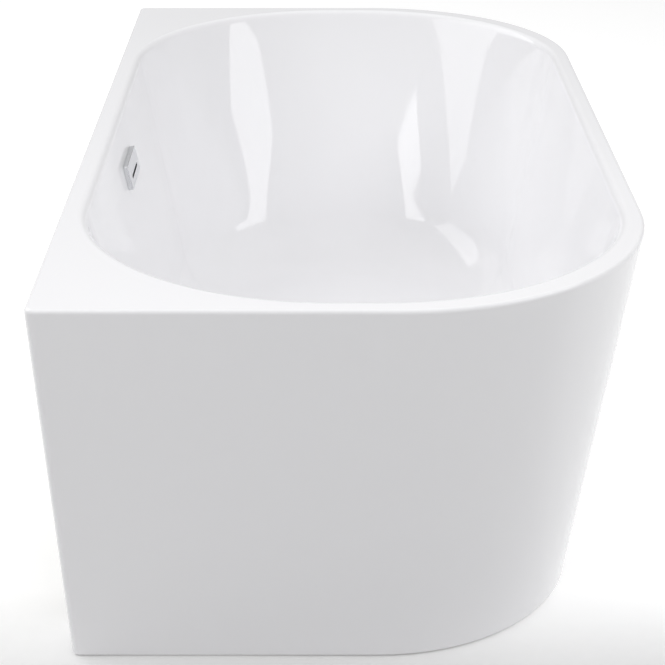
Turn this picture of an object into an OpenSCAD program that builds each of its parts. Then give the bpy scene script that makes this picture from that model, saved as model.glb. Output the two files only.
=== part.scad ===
// Back-to-wall freestanding bathtub: an acrylic tub and a tapered outer skirt on a levelled steel
// frame, with a click-clack waste and an overflow. Millimetres, +Z up, X along the length,
// the wall side at +Y, and the origin on the ground under the middle of the rim's outline.

/* [Overall] */
// Length of the rim, end to end
bath_length = 1500; // [1250:10:1800]
// Width of the rim, wall edge to front edge
bath_width = 800; // [666:2:960]
// Height of the rim above the ground
bath_height = 550; // [458:2:660]

/* [Outer skirt] */
// How far the skirt draws in towards the ground at the ends and the front
taper = 78; // [65:1:94]
// How far it draws in at the wall side
taper_wall = 17; // [14:1:20]
// Plan radius of the two front corners at the rim
corner_r = 348; // [290:1:418]
// Plan radius of the two front corners at the ground
corner_r_foot = 284; // [236:1:340]
// Plan radius of the two corners on the wall side
wall_corner_r = 12; // [10:0.5:14]
// Thickness of the skirt
skirt_t = 5; // [4:0.1:6]
// Gap between the skirt and the ground
skirt_gap = 3; // [2.5:0.1:3.6]
// Width of the return flanges beside the plumbing cut-out
return_w = 92; // [76:1:110]
// Height of the band left above the plumbing cut-out
back_band = 52; // [43:1:62]

/* [Tub] */
// Thickness of the tub
tub_t = 6; // [5:0.1:7.2]
// Height of the tub's floor above the ground
floor_z = 130; // [126:1:156]
// Width of the rim at the ends
rim_end = 28.5; // [24:0.5:34]
// Width of the rim at the front
rim_front = 28; // [24:0.5:34]
// Width of the rim at the wall side
rim_wall = 33; // [28:0.5:39]
// Plan radius of the basin's corners at the rim
basin_r = 340; // [284:1:408]
// Plan radius of the basin's corners at its floor
basin_floor_r = 180; // [150:1:216]
// Slope of the end walls, from upright
end_slope = 31; // [26:1:37]
// Slope of the side walls, from upright
side_slope = 12; // [10:0.5:14]
// Radius between the end walls and the floor
end_fillet = 147; // [123:1:176]
// Radius between the side walls and the floor
side_fillet = 90; // [75:1:108]
// Radius of the rim's outer edge
edge_r = 5; // [4:0.1:5.5]
// Radius of the roll from the rim into the basin
roll_r = 13; // [11:0.5:15]
// Fall of the floor towards the waste
floor_fall = 4; // [3:0.5:5]

/* [Frame] */
// Side of the square frame tubes
tube = 30; // [25:1:36]
// Wall of the frame tubes
tube_wall = 2; // [1.6:0.1:2.5]
// Side of the square posts at the wall side
post = 25; // [21:1:30]
// Thickness of the board under the tub's floor
board_t = 15; // [12:1:18]
// Distance of the mid cross tubes from the middle
mid_cross_x = 180; // [150:1:216]
// Thickness of the skirt battens
batten_t = 18; // [15:1:21]
// Thickness of the plates that hold the battens
plate_t = 3; // [2.5:0.1:3.6]
// Width of those plates
plate_w = 36; // [30:1:43]

/* [Feet] */
// Radius of the threaded studs
stud_r = 6; // [5:0.5:7]
// Radius of the foot pads
pad_r = 25; // [21:1:30]
// Height of the foot pads
pad_h = 14; // [12:1:17]
// Distance of the corner feet from the end cross tubes
foot_inset = 60; // [50:1:72]

/* [Waste] */
// Radius of the visible waste flange
flange_r = 35; // [32:1:40]
// Radius of the threaded barrel below the flange
barrel_r = 22.5; // [20:0.5:24]
// Radius of the plug's cap
cap_r = 31; // [28:1:33]
// Radius of the outlet pipe
pipe_r = 20; // [16:0.5:20]
// How far the outlet pipe reaches towards the wall
pipe_reach = 330; // [280:5:360]
// Length of the pipe's free end, up to the groove that marks how deep it is pushed in
pipe_end = 45; // [38:1:54]
// Depth of the recess that the waste sits in
seat_depth = 3; // [2.5:0.1:3.6]

/* [Overflow] */
// Depth of the overflow's centre below the rim
overflow_drop = 77; // [66:1:92]
// Length of the overflow cover
cover_w = 107; // [90:1:128]
// Height of the overflow cover
cover_h = 40; // [38:1:48]
// How far the cover stands off the wall
cover_d = 8; // [7:0.5:10]
// Radius of the overflow hose
hose_r = 14; // [12:0.5:15]

/* [Hidden] */
FOOT_COUNT = 6;

$fn = 64;
eps = 0.01;
bond_gap = 0.3;    // adhesive line between bonded pieces
running = 0.05;    // radial running fit of a thread or stem
clear = 0.5;       // radial clearance hole
corner_steps = 14; // facets in each corner of the shells

// ---- Levels ----
edge_z = bath_height - edge_r;
rim_under_z = bath_height - tub_t;
waste_floor_z = floor_z - floor_fall;
seat_z = waste_floor_z - seat_depth;
board_top = waste_floor_z - tub_t - bond_gap;
frame_top = board_top - board_t;
frame_bottom = frame_top - tube;
flange_depth = 15;  // width of the bonding flange under the rim
flange_t = 5;

// ---- Plan positions ----
mid_y = (rim_front - rim_wall) / 2;
open_x = bath_length / 2 - rim_end;
open_y = (bath_width - rim_front - rim_wall) / 2;
basin_depth = bath_height - floor_z;
function run_in(slope) = basin_depth * tan(slope);
function tangent(r, slope) = r * tan((90 - slope) / 2);
flat_x = open_x - run_in(end_slope) - tangent(end_fillet, end_slope);
flat_y = open_y - run_in(side_slope) - tangent(side_fillet, side_slope);
seat_r = flange_r + 13;
dish_r = seat_r + 10;
board_x = flat_x - 7;
board_y = flat_y - 8;
rail_y = board_y - tube;
cross_x = bath_length / 2 - taper - 72;
rail_half = cross_x - tube / 2;
foot_x = cross_x - foot_inset;
FEET = [[-foot_x, -rail_y], [foot_x, -rail_y], [foot_x, rail_y], [-foot_x, rail_y],
        [-mid_cross_x, 0], [mid_cross_x, 0]];

// ---- Skirt surface ----
function rise(z) = min(1, z / edge_z);
function draw_in(z) = taper * (1 - rise(z));
function draw_in_wall(z) = taper_wall * (1 - rise(z));
skirt_x = function(z) bath_length / 2 - draw_in(z);
skirt_front = function(z) -bath_width / 2 + draw_in(z);
skirt_back = function(z) bath_width / 2 - draw_in_wall(z);

// A closed outline with half-length a, front f, back b and corner radii rf and rb.
function arc(cx, cy, r, start) =
    [for (i = [0:corner_steps]) let (t = start + 90 * i / corner_steps) [cx + r * cos(t), cy + r * sin(t)]];
function outline(a, f, b, rf, rb) = concat(
    arc(a - rf, f + rf, rf, -90), arc(a - rb, b - rb, rb, 0),
    arc(-a + rb, b - rb, rb, 90), arc(-a + rf, f + rf, rf, 180));
// How far each outline point faces an end (1) or a side (0).
FACING_END = [for (start = [-90:90:180], i = [0:corner_steps]) pow(cos(start + 90 * i / corner_steps), 2)];
function level(points, z) = [for (p = points) [p[0], p[1], z]];

// The skirt's outline at height z, moved in by d.
function skirt_ring(z, d) = level(outline(
    skirt_x(z) - d, skirt_front(z) + d, skirt_back(z) - d,
    corner_r_foot + (corner_r - corner_r_foot) * rise(z) - d, max(1, wall_corner_r - d)), z);

// ---- Basin surface ----
// [inset from the opening, height] of a wall, from the rim down to the floor, moved out by t.
roll_steps = 5;
wall_steps = 3;
fillet_steps = 7;
function wall_profile(slope, fillet, t) =
    let (roll_t = tangent(roll_r, slope),
         foot_u = run_in(slope) + tangent(fillet, slope),
         top_arc = [for (i = [0:roll_steps]) let (a = (90 - slope) * i / roll_steps)
             [-roll_t + (roll_r - t) * sin(a), bath_height - roll_r + (roll_r - t) * cos(a)]],
         low_arc = [for (i = [fillet_steps:-1:0]) let (a = (90 - slope) * i / fillet_steps)
             [foot_u - (fillet + t) * sin(a), floor_z + fillet - (fillet + t) * cos(a)]],
         start = top_arc[roll_steps],
         stop = low_arc[0],
         wall = [for (i = [1:wall_steps - 1]) start + (stop - start) * i / wall_steps])
    concat(top_arc, wall, low_arc);

function basin_rings(t) =
    let (end_wall = wall_profile(end_slope, end_fillet, t),
         side_wall = wall_profile(side_slope, side_fillet, t))
    [for (i = [0:len(end_wall) - 1])
        let (e = end_wall[i],
             s = side_wall[i],
             down = min(1, max(0, (bath_height - s[1]) / basin_depth)),
             a = open_x - e[0],
             b = open_y - s[0],
             r_wanted = basin_r + (basin_floor_r - basin_r) * down + t - min(0, s[0]),
             r = min(r_wanted, a - 10, b - 10),
             plan = outline(a, mid_y - b, mid_y + b, r, r))
        [for (k = [0:len(plan) - 1])
            [plan[k][0], plan[k][1], FACING_END[k] * e[1] + (1 - FACING_END[k]) * s[1]]]];

// The recess that the waste sits in: a square with very round corners.
function well_ring(r, z) = level(outline(r, mid_y - r, mid_y + r, 0.94 * r, 0.94 * r), z);
function floor_rings(t) = [well_ring(dish_r + t, waste_floor_z - t), well_ring(seat_r + t, seat_z - t)];

edge_steps = 4;
rim_rings = concat(
    [skirt_ring(rim_under_z, 0), skirt_ring(edge_z, 0)],
    [for (i = [1:edge_steps]) let (a = 90 * i / edge_steps)
        [for (p = skirt_ring(edge_z, edge_r * (1 - cos(a)))) [p[0], p[1], edge_z + edge_r * sin(a)]]]);

function reversed(list) = [for (i = [len(list) - 1:-1:0]) list[i]];

// Joins equal rings into one closed surface: capped at both ends, or looped back on itself.
module skin(rings, looped = false) {
    n = len(rings[0]);
    m = len(rings);
    bands = looped ? m : m - 1;
    walls = [for (j = [0:bands - 1], i = [0:n - 1])
        let (a = j * n + i, b = j * n + (i + 1) % n,
             c = ((j + 1) % m) * n + (i + 1) % n, d = ((j + 1) % m) * n + i)
        each [[a, c, b], [a, d, c]]];
    caps = looped ? [] : [[for (i = [0:n - 1]) i], [for (i = [n - 1:-1:0]) (m - 1) * n + i]];
    polyhedron([for (ring = rings) each ring], concat(walls, caps));
}

// ---- Shared placings ----
module at_waste() translate([0, mid_y, 0]) children();

module at_feet(k) {
    list = k == undef ? FEET : [FEET[k - 1]];
    for (p = list) translate([p[0], mid_y + p[1], 0]) children();
}

// Origin on the basin's wall at the overflow, +Z into the basin, +Y up the wall.
overflow_z = bath_height - overflow_drop;
overflow_y = mid_y + open_y - overflow_drop * tan(side_slope);
module at_overflow() translate([0, overflow_y, overflow_z]) rotate([90 - side_slope, 0, 0]) children();

// Where a plate leaves a tube's centre line: +X points out towards its batten.
end_plate_ys = [mid_y + 20, mid_y + rail_y + 130];
front_plate_xs = [-250, 0, 250];
batten_low = frame_bottom;
batten_high = frame_top;
batten_end_x = skirt_x(batten_low) - skirt_t - bond_gap - batten_t;
batten_front_y = skirt_front(batten_low) + skirt_t + bond_gap + batten_t;
end_reach = batten_end_x + batten_t / 2 - cross_x;
front_reach = (mid_y - rail_y) - (batten_front_y - batten_t / 2);
screw_r = 2.5;
screw_edge = 9;  // screw centres from a plate's ends

module at_end_plates() {
    for (side = [0, 180], y = end_plate_ys)
        translate([(side == 0 ? 1 : -1) * cross_x, y, frame_bottom]) rotate(side) children();
}
module at_front_plates() {
    for (x = front_plate_xs) translate([x, mid_y - rail_y, frame_bottom]) rotate(-90) children();
}
module plate_holes(r) {
    at_end_plates() for (x = [0, end_reach]) translate([x, 0, -plate_t - 1]) cylinder(r = r, h = plate_t + 20);
    at_front_plates() for (x = [0, front_reach]) translate([x, 0, -plate_t - 1]) cylinder(r = r, h = plate_t + 20);
}

// A square tube along X, centred on the origin in Y, standing on z = 0.
module tube_x(length, side) {
    difference() {
        translate([-length / 2, -side / 2, 0]) cube([length, side, side]);
        translate([-length / 2 - 1, -side / 2 + tube_wall, tube_wall])
            cube([length + 2, side - 2 * tube_wall, side - 2 * tube_wall]);
    }
}

// A ring or tube standing on z = 0.
module ring(outer, inner, h) {
    difference() {
        cylinder(r = outer, h = h);
        translate([0, 0, -1]) cylinder(r = inner, h = h + 2);
    }
}

// A plate with round corners, standing on z = 0.
module round_plate(w, h, r, t) {
    linear_extrude(t) {
        square([w - 2 * r, h], center = true);
        square([w, h - 2 * r], center = true);
        for (x = [-1, 1], y = [-1, 1]) translate([x * (w / 2 - r), y * (h / 2 - r)]) circle(r = r);
    }
}

// ---- Shells ----
waste_hole_r = barrel_r + 3;
overflow_hole_w = 66;
overflow_hole_h = 24;
overflow_screw_x = cover_w / 2 - 13;
overflow_screw_r = 2.5;

module bath_shell() {
    color("white") difference() {
        skin(concat(reversed(concat(basin_rings(tub_t), floor_rings(tub_t))),
                    rim_rings, basin_rings(0), floor_rings(0)));
        at_waste() translate([0, 0, seat_z - tub_t - 5]) cylinder(r = waste_hole_r, h = tub_t + 10);
        at_overflow() translate([0, 0, -tub_t - 5])
            round_plate(overflow_hole_w, overflow_hole_h, overflow_hole_h / 2 - eps, tub_t + 10);
        at_overflow() for (x = [-1, 1]) translate([x * overflow_screw_x, 0, -tub_t - 5])
            cylinder(r = overflow_screw_r + clear, h = tub_t + 10);
    }
}

cut_half = bath_length / 2 - taper - return_w;
cut_top = bath_height - back_band;
cut_r = 40;

module outer_skirt() {
    color("white") difference() {
        skin([skirt_ring(skirt_gap, 0), skirt_ring(rim_under_z, 0),
              skirt_ring(rim_under_z, flange_depth), skirt_ring(rim_under_z - flange_t, flange_depth),
              skirt_ring(rim_under_z - flange_t, skirt_t), skirt_ring(skirt_gap, skirt_t)], looped = true);
        translate([0, bath_width / 2 + 10, 0]) rotate([90, 0, 0]) linear_extrude(60) {
            translate([-cut_half, -10]) square([2 * cut_half, cut_top - cut_r + 10]);
            translate([-cut_half + cut_r, 0]) square([2 * (cut_half - cut_r), cut_top]);
            for (x = [-1, 1]) translate([x * (cut_half - cut_r), cut_top - cut_r]) circle(r = cut_r);
        }
    }
}

// ---- Frame ----
board_hole_r = dish_r + tub_t + 8;

module base_board() {
    color("burlywood") difference() {
        translate([-board_x, mid_y - board_y, frame_top]) cube([2 * board_x, 2 * board_y, board_t]);
        at_waste() translate([0, 0, frame_top - 1]) cylinder(r = board_hole_r, h = board_t + 2);
        board_screw_spots() translate([0, 0, frame_top - 1]) cylinder(r = screw_r + running, h = 13);
    }
}

module board_screw_spots() {
    for (x = [-mid_cross_x, mid_cross_x], y = [-rail_y + tube, rail_y - tube])
        translate([x, mid_y + y, 0]) children();
}

module rail(y) {
    color("dimgray") difference() {
        translate([0, mid_y + y, frame_bottom]) tube_x(2 * rail_half, tube);
        at_feet() translate([0, 0, frame_bottom - 1]) cylinder(r = stud_r + clear, h = tube_wall + 2);
        plate_holes(screw_r + running);
    }
}

cross_front = mid_y - rail_y - tube / 2;
cross_back = skirt_back(frame_bottom) - skirt_t - 4;
cap_t = 3;
module end_cross(side) {
    length = cross_back - cap_t - cross_front;
    color("dimgray") difference() {
        translate([side * cross_x, cross_front + length / 2, frame_bottom]) rotate(90) tube_x(length, tube);
        plate_holes(screw_r + running);
    }
}

module mid_cross(side) {
    color("dimgray") difference() {
        translate([side * mid_cross_x, mid_y, frame_bottom]) rotate(90) tube_x(2 * rail_y - tube, tube);
        at_feet() translate([0, 0, frame_bottom - 1]) cylinder(r = stud_r + clear, h = tube_wall + 2);
        board_screw_spots() translate([0, 0, frame_bottom - 1]) cylinder(r = screw_r + running, h = tube + 2);
    }
}

batten_rim = 18;   // side of the batten under the wall-side rim
batten_rim_y = bath_width / 2 - flange_depth - 3;
batten_rim_top = rim_under_z - flange_t - bond_gap;
post_y = cross_back - cap_t - post / 2;
post_top = batten_rim_top - batten_rim;

module back_post(side) {
    color("dimgray") translate([side * cross_x, post_y, frame_top]) difference() {
        translate([-post / 2, -post / 2, 0]) cube([post, post, post_top - frame_top]);
        translate([-post / 2 + tube_wall, -post / 2 + tube_wall, -1])
            cube([post - 2 * tube_wall, post - 2 * tube_wall, post_top - frame_top + 2]);
    }
}

module rim_batten() {
    back = skirt_back(post_top) - skirt_t - bond_gap;
    color("burlywood") translate([-cross_x - post / 2, back - batten_rim, post_top])
        cube([2 * cross_x + post, batten_rim, batten_rim]);
}

// Cross-section of a skirt batten: upright inside, sloped like the skirt outside.
lean = taper * (batten_high - batten_low) / edge_z;
module batten_section() {
    polygon([[0, 0], [batten_t, 0], [batten_t + lean, batten_high - batten_low], [0, batten_high - batten_low]]);
}

module batten_front() {
    half = bath_length / 2 - taper - corner_r_foot;
    color("burlywood") difference() {
        translate([half, batten_front_y, batten_low]) rotate([90, 0, -90]) linear_extrude(2 * half) batten_section();
        plate_holes(screw_r + running);
    }
}

batten_end_front = -bath_width / 2 + taper + corner_r_foot;
batten_end_back = bath_width / 2 - taper_wall - wall_corner_r - 40;
module batten_end(side) {
    color("burlywood") difference() {
        mirror([side < 0 ? 1 : 0, 0, 0]) translate([batten_end_x, batten_end_back, batten_low])
            rotate([90, 0, 0]) linear_extrude(batten_end_back - batten_end_front) batten_section();
        plate_holes(screw_r + running);
    }
}

module plate(reach) {
    difference() {
        translate([-screw_edge, -plate_w / 2, -plate_t]) cube([reach + 2 * screw_edge - 3, plate_w, plate_t]);
        for (x = [0, reach]) translate([x, 0, -plate_t - 1]) cylinder(r = screw_r + running, h = plate_t + 2);
    }
}

module skirt_plates() {
    color("silver") {
        at_end_plates() plate(end_reach);
        at_front_plates() plate(front_reach);
    }
}

// A pan-head screw pointing up from z = 0, its head below.
module screw(length) {
    cylinder(r = screw_r, h = length);
    translate([0, 0, -2.4]) cylinder(r = 2 * screw_r, h = 2.4);
}

module plate_screws() {
    color("silver") {
        at_end_plates() for (x = [0, end_reach]) translate([x, 0, -plate_t]) screw(plate_t + 12);
        at_front_plates() for (x = [0, front_reach]) translate([x, 0, -plate_t]) screw(plate_t + 12);
    }
}

module board_screws() {
    color("silver") board_screw_spots() translate([0, 0, frame_bottom]) screw(tube + 11);
}

module tube_caps() {
    color("black") for (side = [-1, 1]) {
        translate([side * cross_x - tube / 2, cross_back - cap_t, frame_bottom]) cube([tube, cap_t, tube]);
        translate([side * cross_x - tube / 2, cross_front - cap_t, frame_bottom]) cube([tube, cap_t, tube]);
    }
}

// ---- Feet ----
foot_up = 3;    // how far a foot can be screwed in from its set height
stud_low = 4;
stud_top = frame_top - tube_wall - foot_up - 2;
nut_h = 9;
insert_h = 12;

module foot_inserts() {
    color("silver") at_feet() translate([0, 0, frame_bottom + tube_wall])
        ring(min(stud_r + 4, tube / 2 - tube_wall - 1), stud_r + running, insert_h);
}

module lock_nuts() {
    color("silver") at_feet() translate([0, 0, frame_bottom - nut_h]) difference() {
        cylinder(r = stud_r * 1.85, h = nut_h, $fn = 6);
        translate([0, 0, -1]) cylinder(r = stud_r + running, h = nut_h + 2);
    }
}

module foot_pad(k) {
    color("dimgray") at_feet(k) difference() {
        union() {
            cylinder(r = pad_r, h = pad_h * 0.5);
            translate([0, 0, pad_h * 0.5]) cylinder(r1 = pad_r, r2 = stud_r + 5, h = pad_h * 0.5);
        }
        translate([0, 0, stud_low]) cylinder(r = stud_r + running, h = pad_h);
    }
}

module foot_stud(k) {
    color("silver") at_feet(k) translate([0, 0, stud_low]) cylinder(r = stud_r, h = stud_top - stud_low);
}

// ---- Waste ----
seal_t = 1.5;
flange_z = seat_z + seal_t;
flange_h = 3;
throat_r = barrel_r - 2;
barrel_low = seat_z - 58;
low_seal_t = 3;
body_top = seat_z - tub_t - low_seal_t;
collar_r = seat_r - 4;
collar_t = 5;
body_r = barrel_r + 6;
port_z = seat_z - 76;
cartridge_r = 8;
cartridge_top = seat_z - 18;
cartridge_low = seat_z - 46;
spider_t = 4;
stem_r = 4;

module waste_flange() {
    color("gainsboro") at_waste() {
        rotate_extrude() polygon([
            [throat_r, barrel_low], [barrel_r, barrel_low], [barrel_r, flange_z], [flange_r, flange_z],
            [flange_r - 0.6, flange_z + flange_h / 2], [flange_r - 2.5, flange_z + flange_h],
            [cap_r - 2, flange_z + flange_h], [throat_r, flange_z]]);
        translate([0, 0, cartridge_low + 4]) difference() {
            linear_extrude(spider_t) {
                circle(r = cartridge_r + 3);
                for (a = [30:120:270]) rotate(a) translate([0, -1.5]) square([throat_r + 0.8, 3]);
            }
            translate([0, 0, -1]) cylinder(r = cartridge_r + running, h = spider_t + 2);
        }
    }
}

module waste_seal_upper() {
    color("black") at_waste() translate([0, 0, seat_z]) ring(flange_r - 2, waste_hole_r, seal_t);
}

module waste_seal_lower() {
    color("black") at_waste() translate([0, 0, body_top]) ring(collar_r, waste_hole_r, low_seal_t);
}

socket_r = pipe_r + 5;
socket_end = body_r + 36;
port_r = hose_r - 1;
port_end = body_r + 24;
chamber_low = port_z - pipe_r;
module waste_body() {
    color("whitesmoke") at_waste() difference() {
        union() {
            translate([0, 0, body_top - collar_t]) cylinder(r = collar_r, h = collar_t);
            translate([0, 0, chamber_low - 4]) cylinder(r = body_r, h = body_top - collar_t - chamber_low + 4 + eps);
            translate([0, 0, port_z]) rotate([-90, 0, 0]) cylinder(r = socket_r, h = socket_end);
            translate([0, 0, port_z]) rotate([0, 90, 0]) cylinder(r = port_r, h = port_end);
        }
        translate([0, 0, barrel_low - 3]) cylinder(r = barrel_r + running, h = body_top - barrel_low + 10);
        translate([0, 0, chamber_low]) cylinder(r = body_r - 3.5, h = barrel_low - 3 - chamber_low + eps);
        translate([0, 0, port_z]) rotate([-90, 0, 0]) cylinder(r = pipe_r - 2, h = socket_end + 1);
        translate([0, body_r + 4, port_z]) rotate([-90, 0, 0]) cylinder(r = pipe_r + running, h = 40);
        translate([0, 0, port_z]) rotate([0, 90, 0]) cylinder(r = port_r - 3, h = port_end + 1);
    }
}

module plug_cartridge() {
    color("dimgray") at_waste() translate([0, 0, cartridge_low])
        ring(cartridge_r, stem_r + running, cartridge_top - cartridge_low);
}

cap_low = flange_z + flange_h + 0.5;
cap_h = 5;
stem_low = cartridge_low + 4;
plug_seal_t = 3;
module plug_cap() {
    color("gainsboro") at_waste() translate([0, 0, cap_low]) rotate_extrude()
        polygon([[0, 0], [cap_r - 1, 0], [cap_r, 0.8], [cap_r - 0.6, 2], [cap_r - 5, 3.6], [cap_r / 2, 4.7], [0, cap_h]]);
}

module plug_stem() {
    color("silver") at_waste() translate([0, 0, stem_low]) cylinder(r = stem_r, h = cap_low - stem_low);
}

module plug_seal() {
    color("black") at_waste() translate([0, 0, cap_low - plug_seal_t])
        difference() {
            cylinder(r1 = throat_r - 1.5, r2 = throat_r + 1, h = plug_seal_t);
            translate([0, 0, -1]) cylinder(r = stem_r + running, h = plug_seal_t + 2);
        }
}

pipe_start = body_r + 4.5;
pipe_wall = 1.9;
groove_w = 2;
groove_depth = 0.5;
module outlet_pipe() {
    color("white") at_waste() translate([0, pipe_start, port_z]) rotate([-90, 0, 0]) difference() {
        ring(pipe_r, pipe_r - pipe_wall, pipe_reach - pipe_start);
        translate([0, 0, pipe_reach - pipe_start - pipe_end - groove_w])
            ring(pipe_r + 1, pipe_r - groove_depth, groove_w);
    }
}

module outlet_nut() {
    lip = 6;
    grip = 14;
    color("whitesmoke") at_waste() translate([0, socket_end - grip, port_z]) rotate([-90, 0, 0]) difference() {
        cylinder(r = socket_r + 4, h = grip + lip);
        translate([0, 0, -1]) cylinder(r = socket_r + running, h = grip + 1);
        translate([0, 0, grip - 1]) cylinder(r = pipe_r + 0.3, h = lip + 2);
    }
}

// ---- Overflow ----
cover_t = 2.2;
slot_w = 70;
slot_h = 5;
slot_drop = 5;
gasket_t = 3;
box_d = 20;
box_w = cover_w - 8;
box_h = cover_h - 4;
face_t = 2;
behind = tub_t + gasket_t + 0.1;

module overflow_cover() {
    color("gainsboro") at_overflow() translate([0, 0, 0.2]) difference() {
        round_plate(cover_w, cover_h, 3, cover_d);
        translate([0, 0, -1]) round_plate(cover_w - 2 * cover_t, cover_h - 2 * cover_t, 1.5, cover_d - cover_t + 1);
        translate([0, -slot_drop, -1]) round_plate(slot_w, slot_h, slot_h / 2 - eps, cover_d + 2);
    }
}

module overflow_faceplate() {
    color("silver") at_overflow() translate([0, 0, 0.1]) difference() {
        round_plate(cover_w - 2 * cover_t - 1, cover_h - 2 * cover_t - 1, 2, face_t);
        translate([0, 0, -1]) round_plate(overflow_hole_w - 6, overflow_hole_h - 6, 6, face_t + 2);
        for (x = [-1, 1]) translate([x * overflow_screw_x, 0, -1])
            cylinder(r = overflow_screw_r + running, h = face_t + 2);
    }
}

module overflow_screws() {
    color("silver") at_overflow() for (x = [-1, 1]) translate([x * overflow_screw_x, 0, 0]) {
        translate([0, 0, -behind - 8]) cylinder(r = overflow_screw_r, h = behind + 8 + face_t + 0.1);
        translate([0, 0, face_t + 0.1]) cylinder(r = overflow_screw_r * 1.8, h = 2);
    }
}

module overflow_gasket() {
    color("black") at_overflow() translate([0, 0, -behind]) difference() {
        round_plate(box_w, box_h, 6, gasket_t);
        translate([0, 0, -1]) round_plate(overflow_hole_w, overflow_hole_h, 8, gasket_t + 2);
        for (x = [-1, 1]) translate([x * overflow_screw_x, 0, -1])
            cylinder(r = overflow_screw_r + clear, h = gasket_t + 2);
    }
}

spigot_end = box_h / 2 + 26;
spigot_z = -behind - box_d / 2 - 5;
module overflow_body() {
    color("whitesmoke") at_overflow() difference() {
        union() {
            translate([0, 0, -behind - box_d]) round_plate(box_w, box_h, 6, box_d);
            translate([0, -box_h / 2 + 2, spigot_z]) rotate([90, 0, 0]) cylinder(r = hose_r - 3, h = 28);
        }
        translate([0, 0, -behind - box_d + 3]) round_plate(overflow_hole_w, overflow_hole_h, 8, box_d);
        translate([0, 0, spigot_z]) rotate([90, 0, 0]) cylinder(r = hose_r - 6, h = spigot_end + 1);
        for (x = [-1, 1]) translate([x * overflow_screw_x, 0, -behind - 9])
            cylinder(r = overflow_screw_r + running, h = 12);
    }
}

hose_gap = 0.4;  // between the hose's ends and the ports
// The hose's route: down behind the tub, under the back rail and round to the waste's side port.
down_wall = [0, -sin(side_slope), -cos(side_slope)];
hose_start = [0, overflow_y, overflow_z] + (spigot_end + hose_gap) * down_wall
    + spigot_z * [0, -cos(side_slope), sin(side_slope)];
hose_stop = [port_end + hose_gap, mid_y, port_z];
back_rail_y = mid_y + rail_y;
under_rail_z = frame_bottom - hose_r - 10;
HOSE_ROUTE = [
    hose_start - 10 * down_wall,
    hose_start,
    hose_start + 20 * down_wall,
    hose_start + 45 * down_wall,
    [4, back_rail_y + 172, 250],
    [12, back_rail_y + 152, 160],
    [34, back_rail_y + 118, 92],
    [64, back_rail_y + 66, under_rail_z + 3],
    [94, back_rail_y, under_rail_z],
    [112, back_rail_y - 76, under_rail_z],
    [110, mid_y + 34, port_z + 1],
    [90, mid_y + 3, port_z],
    hose_stop + [14, 0, 0],
    hose_stop,
    hose_stop - [10, 0, 0]];

hose_sides = 12;
steps_per_span = 5;
function spline(p, t) = 0.5 * ((2 * p[1]) + (p[2] - p[0]) * t
    + (2 * p[0] - 5 * p[1] + 4 * p[2] - p[3]) * t * t
    + (3 * p[1] - p[0] - 3 * p[2] + p[3]) * t * t * t);
function spline_path(p) = concat(
    [for (i = [1:len(p) - 3], s = [0:steps_per_span - 1])
        spline([p[i - 1], p[i], p[i + 1], p[i + 2]], s / steps_per_span)],
    [p[len(p) - 2]]);
function unit(v) = v / norm(v);

// A tube of rings square to the path. The rings' first side is kept level with the ground.
module swept_tube(path, r) {
    n = len(path);
    rings = [for (i = [0:n - 1])
        let (along = unit(path[min(i + 1, n - 1)] - path[max(i - 1, 0)]),
             aside = unit(cross(along, abs(along[2]) > 0.8 ? [0, 1, 0] : [0, 0, 1])),
             up = cross(aside, along))
        [for (k = [0:hose_sides - 1]) let (a = 360 * k / hose_sides)
            path[i] + r * (cos(a) * aside + sin(a) * up)]];
    skin(reversed(rings));
}

module overflow_hose() {
    color("white") swept_tube(spline_path(HOSE_ROUTE), hose_r);
}

module hose_nut() {
    translate([0, 0, -2]) ring(hose_r + 3, hose_r + bond_gap, 20);
}

module hose_nut_upper() {
    color("gray") translate(hose_start) rotate([90 - side_slope, 0, 0]) rotate([90, 0, 0])
        translate([0, 0, -8]) hose_nut();
}

module hose_nut_lower() {
    color("gray") translate(hose_stop) rotate([0, 90, 0]) translate([0, 0, -8]) hose_nut();
}

bath_shell();
outer_skirt();
base_board();
rail(-rail_y);  // rail_front
rail(rail_y);  // rail_back
end_cross(-1);  // end_cross_left
end_cross(1);  // end_cross_right
mid_cross(-1);  // mid_cross_left
mid_cross(1);  // mid_cross_right
back_post(-1);  // back_post_left
back_post(1);  // back_post_right
rim_batten();
batten_front();
batten_end(-1);  // batten_end_left
batten_end(1);  // batten_end_right
skirt_plates();
plate_screws();
board_screws();
tube_caps();
foot_inserts();
lock_nuts();
foot_pad(1);  // foot_pad_1
foot_pad(2);  // foot_pad_2
foot_pad(3);  // foot_pad_3
foot_pad(4);  // foot_pad_4
foot_pad(5);  // foot_pad_5
foot_pad(6);  // foot_pad_6
foot_stud(1);  // foot_stud_1
foot_stud(2);  // foot_stud_2
foot_stud(3);  // foot_stud_3
foot_stud(4);  // foot_stud_4
foot_stud(5);  // foot_stud_5
foot_stud(6);  // foot_stud_6
waste_flange();
waste_seal_upper();
waste_seal_lower();
waste_body();
plug_cartridge();
plug_cap();
plug_stem();
plug_seal();
outlet_pipe();
outlet_nut();
overflow_cover();
overflow_faceplate();
overflow_screws();
overflow_gasket();
overflow_body();
overflow_hose();
hose_nut_upper();
hose_nut_lower();
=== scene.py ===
# %% [markdown]
# # A back-to-wall bath, piece by piece
# The bath is an acrylic tub in a seamless acrylic skirt, standing on a welded steel frame. A CAD model
# holds every size and every moving joint, so this lesson never moves or resizes anything. It loads that
# model and then builds a better looking piece for each part that shows. The other parts keep their CAD
# shape and get a finish made of shader nodes.

# %% Load the CAD model
import math
from bisect import bisect_right
from collections import namedtuple

import bmesh
import bpy
from mathutils import Matrix, Vector


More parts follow.
